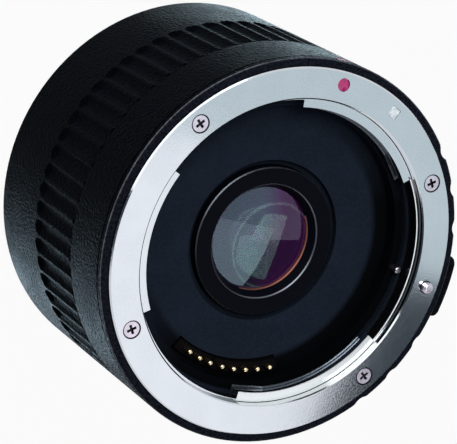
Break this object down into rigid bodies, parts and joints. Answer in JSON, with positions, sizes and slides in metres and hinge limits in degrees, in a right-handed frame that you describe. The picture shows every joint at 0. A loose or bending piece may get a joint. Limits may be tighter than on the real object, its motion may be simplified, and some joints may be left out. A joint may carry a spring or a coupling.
{
  "type": "camera teleconverter",
  "caption": "Short black barrel with a female bayonet, lens and sprung contacts in front and a male bayonet behind; a side slide draws the lock pin in.",
  "frame": {"origin": "centre of the rear mounting face, the flange that meets the camera", "axes": "+Z along the optical axis towards the lens side, +Y towards the red index mark, +X towards the lock pin and its release slide"},
  "size_m": [0.0706, 0.068, 0.0511],
  "materials": {
    "ring_metal": "satin chrome on a metal bayonet ring",
    "screw_steel": "bright nickel-plated steel",
    "spring_steel": "plain spring steel",
    "barrel_paint": "black crinkle paint on aluminium",
    "frame_plastic": "black glass-filled moulding",
    "black_alloy": "black anodised aluminium",
    "baffle_black": "matt blue-black",
    "knob_plastic": "fine matt black",
    "contact_plastic": "smooth black moulding",
    "contact_gold": "gold-plated",
    "coated_glass": "polished with a green and magenta coating",
    "red_mark": "glossy crimson inlay",
    "white_mark": "off-white inlay",
    "flex_film": "amber film",
    "board_green": "solder-mask green"
  },
  "bodies": {
    "housing": {"front_mount_ring": "ring_metal", "front_mount_screws": "screw_steel", "mount_leaf_spring": "spring_steel", "rotation_stop_pin": "screw_steel", "red_index_dot": "red_mark", "white_index_square": "white_mark", "front_barrel": "barrel_paint", "rear_barrel": "barrel_paint", "barrel_index_marks": "red_mark", "chassis": "frame_plastic", "mount_spacer": "frame_plastic", "front_baffle": "baffle_black", "front_retaining_ring": "black_alloy", "lens_cell": "black_alloy", "glass_spacer_1": "black_alloy", "glass_spacer_2": "black_alloy", "glass_spacer_3": "black_alloy", "rear_retaining_ring": "black_alloy", "cell_screws": "screw_steel", "front_contact_block": "contact_plastic", "front_contact_cover": "contact_plastic", "contact_block_screws": "screw_steel", "flex_circuits": "flex_film", "circuit_board": "board_green", "control_chip": "contact_plastic", "board_screws": "screw_steel", "rear_contact_block": "contact_plastic", "rear_contact_pads": "contact_gold", "rear_mount": "ring_metal", "rear_mount_screws": "screw_steel", "spigot_liner": "baffle_black", "rear_baffle": "baffle_black", "release_spring": "spring_steel", "lens_element_1": "coated_glass", "lens_element_2": "coated_glass", "lens_element_3": "coated_glass", "lens_element_4": "coated_glass", "lens_element_5": "coated_glass", "lens_element_6": "coated_glass", "lens_element_7": "coated_glass", "contact_spring_1": "spring_steel", "contact_spring_2": "spring_steel", "contact_spring_3": "spring_steel", "contact_spring_4": "spring_steel", "contact_spring_5": "spring_steel", "contact_spring_6": "spring_steel", "contact_spring_7": "spring_steel", "contact_spring_8": "spring_steel"},
    "release_slide": {"release_knob": "knob_plastic", "release_arm": "screw_steel", "release_arm_screws": "screw_steel", "lock_pin": "screw_steel"},
    "contact_1": {"contact_pin_1": "contact_gold"},
    "contact_2": {"contact_pin_2": "contact_gold"},
    "contact_3": {"contact_pin_3": "contact_gold"},
    "contact_4": {"contact_pin_4": "contact_gold"},
    "contact_5": {"contact_pin_5": "contact_gold"},
    "contact_6": {"contact_pin_6": "contact_gold"},
    "contact_7": {"contact_pin_7": "contact_gold"},
    "contact_8": {"contact_pin_8": "contact_gold"}
  },
  "joints": [
    {"name": "release_travel", "type": "slide", "parent": "housing", "child": "release_slide", "axis": [0, 0, -1], "range_m": [0, 0.002], "stiffness_N_per_m": 1200, "deforming": ["release_spring"]},
    {"name": "contact_1_press", "type": "slide", "parent": "housing", "child": "contact_1", "axis": [0, 0, -1], "range_m": [0, 0.001], "stiffness_N_per_m": 600, "deforming": ["contact_spring_1"]},
    {"name": "contact_2_press", "type": "slide", "parent": "housing", "child": "contact_2", "axis": [0, 0, -1], "range_m": [0, 0.001], "stiffness_N_per_m": 600, "deforming": ["contact_spring_2"]},
    {"name": "contact_3_press", "type": "slide", "parent": "housing", "child": "contact_3", "axis": [0, 0, -1], "range_m": [0, 0.001], "stiffness_N_per_m": 600, "deforming": ["contact_spring_3"]},
    {"name": "contact_4_press", "type": "slide", "parent": "housing", "child": "contact_4", "axis": [0, 0, -1], "range_m": [0, 0.001], "stiffness_N_per_m": 600, "deforming": ["contact_spring_4"]},
    {"name": "contact_5_press", "type": "slide", "parent": "housing", "child": "contact_5", "axis": [0, 0, -1], "range_m": [0, 0.001], "stiffness_N_per_m": 600, "deforming": ["contact_spring_5"]},
    {"name": "contact_6_press", "type": "slide", "parent": "housing", "child": "contact_6", "axis": [0, 0, -1], "range_m": [0, 0.001], "stiffness_N_per_m": 600, "deforming": ["contact_spring_6"]},
    {"name": "contact_7_press", "type": "slide", "parent": "housing", "child": "contact_7", "axis": [0, 0, -1], "range_m": [0, 0.001], "stiffness_N_per_m": 600, "deforming": ["contact_spring_7"]},
    {"name": "contact_8_press", "type": "slide", "parent": "housing", "child": "contact_8", "axis": [0, 0, -1], "range_m": [0, 0.001], "stiffness_N_per_m": 600, "deforming": ["contact_spring_8"]}
  ]
}
